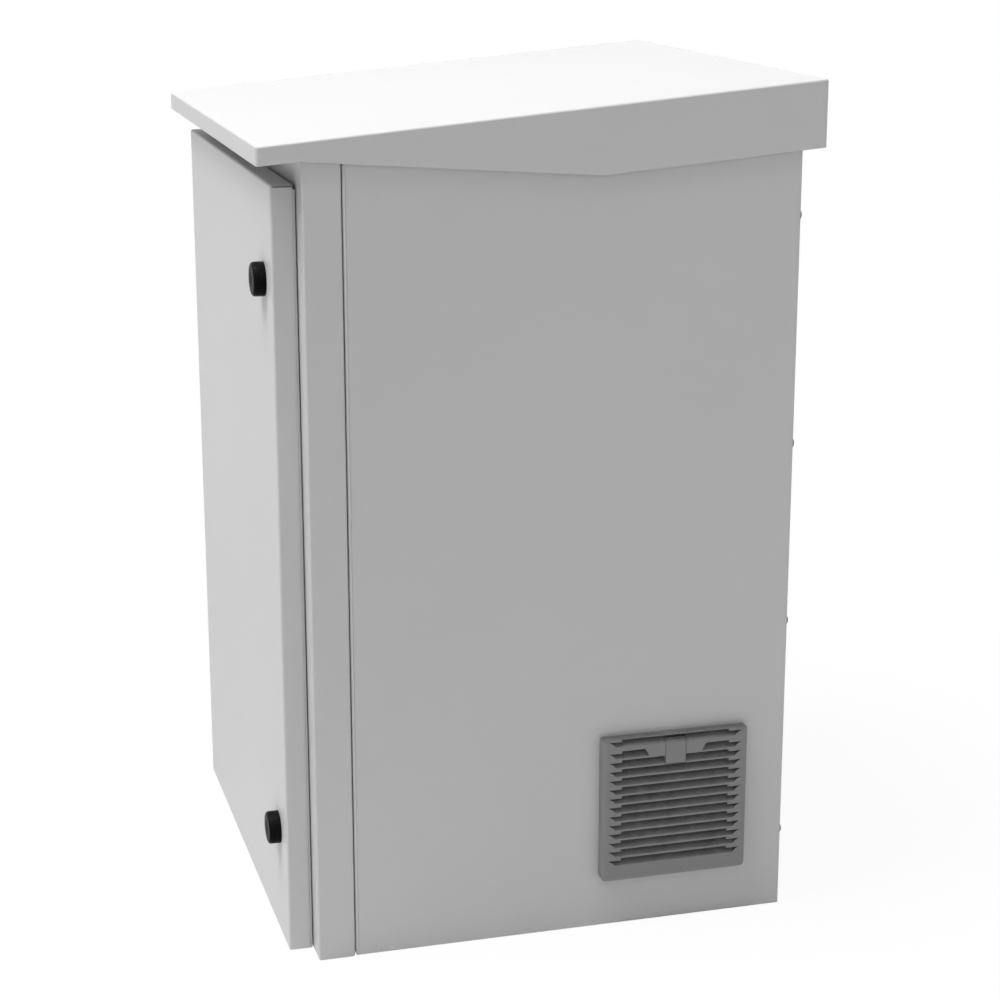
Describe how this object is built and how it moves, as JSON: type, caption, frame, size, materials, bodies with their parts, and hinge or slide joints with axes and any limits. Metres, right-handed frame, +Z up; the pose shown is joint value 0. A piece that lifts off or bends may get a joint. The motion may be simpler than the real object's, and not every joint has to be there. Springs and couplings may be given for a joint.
{
  "type": "roadside utility cabinet",
  "caption": "Sheet-steel roadside utility cabinet with a sloped overhanging roof, a side-hung door with quarter-turn locks, and a louvred filter fan low on one side.",
  "frame": {"origin": "middle of the cabinet's footprint, on the ground, at the centre of the anchor holes", "axes": "+Z up; the door faces -Y, with the locks towards +X; the filter fan is on the +X side"},
  "size_m": [0.615, 0.5995, 0.9241],
  "materials": {
    "painted_steel": "light grey satin powder coat",
    "galvanised_steel": "galvanised",
    "zinc_plated": "bright zinc",
    "hinge_casting": "light grey satin powder coat",
    "black_plastic": "satin moulded",
    "grey_plastic": "fine moulded grain",
    "rubber": "matt",
    "filter_fibre": "non-woven mat"
  },
  "bodies": {
    "cabinet": {"front_frame": "painted_steel", "left_side_panel": "painted_steel", "right_side_panel": "painted_steel", "rear_panel": "painted_steel", "top_panel": "painted_steel", "base_panel": "painted_steel", "roof": "painted_steel", "gland_plate": "galvanised_steel", "roof_front_rail": "galvanised_steel", "roof_rear_rail": "galvanised_steel", "left_equipment_rail": "galvanised_steel", "right_equipment_rail": "galvanised_steel", "lower_left_brace": "galvanised_steel", "lower_right_brace": "galvanised_steel", "upper_left_brace": "galvanised_steel", "upper_right_brace": "galvanised_steel", "rear_panel_screws": "zinc_plated", "rear_panel_washers": "zinc_plated", "gland_plate_screws": "zinc_plated", "roof_studs": "zinc_plated", "roof_nuts": "zinc_plated", "rail_screws": "zinc_plated", "fan_screws": "zinc_plated", "earth_stud": "zinc_plated", "earth_nut": "zinc_plated", "upper_hinge_pin": "zinc_plated", "lower_hinge_pin": "zinc_plated", "upper_frame_hinge": "hinge_casting", "lower_frame_hinge": "hinge_casting", "fan_frame": "black_plastic", "filter_housing": "grey_plastic", "left_panel_seal": "rubber", "right_panel_seal": "rubber", "cable_grommets": "rubber", "filter_mat": "filter_fibre"},
    "door": {"door": "painted_steel", "door_gasket": "rubber", "left_door_stiffener": "galvanised_steel", "right_door_stiffener": "galvanised_steel", "upper_door_hinge": "hinge_casting", "lower_door_hinge": "hinge_casting", "lock_housings": "black_plastic", "lock_nuts": "zinc_plated"},
    "upper_lock": {"upper_lock_core": "zinc_plated", "upper_lock_cam": "zinc_plated", "upper_cam_bolt": "zinc_plated"},
    "lower_lock": {"lower_lock_core": "zinc_plated", "lower_lock_cam": "zinc_plated", "lower_cam_bolt": "zinc_plated"},
    "filter_cover": {"filter_cover": "grey_plastic"},
    "cover_tab": {"cover_tab": "grey_plastic"},
    "fan_rotor": {"fan_rotor": "black_plastic"}
  },
  "joints": [
    {"name": "door_hinge", "type": "hinge", "parent": "cabinet", "child": "door", "pos_m": [-0.28, -0.28, 0.428], "axis": [0, 0, -1], "range_deg": [0, 165]},
    {"name": "upper_lock_turn", "type": "hinge", "parent": "door", "child": "upper_lock", "pos_m": [0.2225, -0.28, 0.7294], "axis": [0, 1, 0], "range_deg": [0, 90]},
    {"name": "lower_lock_turn", "type": "hinge", "parent": "door", "child": "lower_lock", "pos_m": [0.2225, -0.28, 0.1265], "axis": [0, 1, 0], "range_deg": [0, 90]},
    {"name": "filter_cover_hinge", "type": "hinge", "parent": "cabinet", "child": "filter_cover", "pos_m": [0.305, 0.1335, 0.0592], "axis": [0, 1, 0], "range_deg": [0, 90]},
    {"name": "cover_tab_pull", "type": "hinge", "parent": "filter_cover", "child": "cover_tab", "pos_m": [0.3072, 0.1335, 0.2145], "axis": [0, -1, 0], "range_deg": [0, 20], "stiffness_Nm_per_rad": 0.05},
    {"name": "fan_spin", "type": "hinge", "parent": "cabinet", "child": "fan_rotor", "pos_m": [0.2684, 0.1335, 0.139], "axis": [1, 0, 0], "continuous": true}
  ]
}
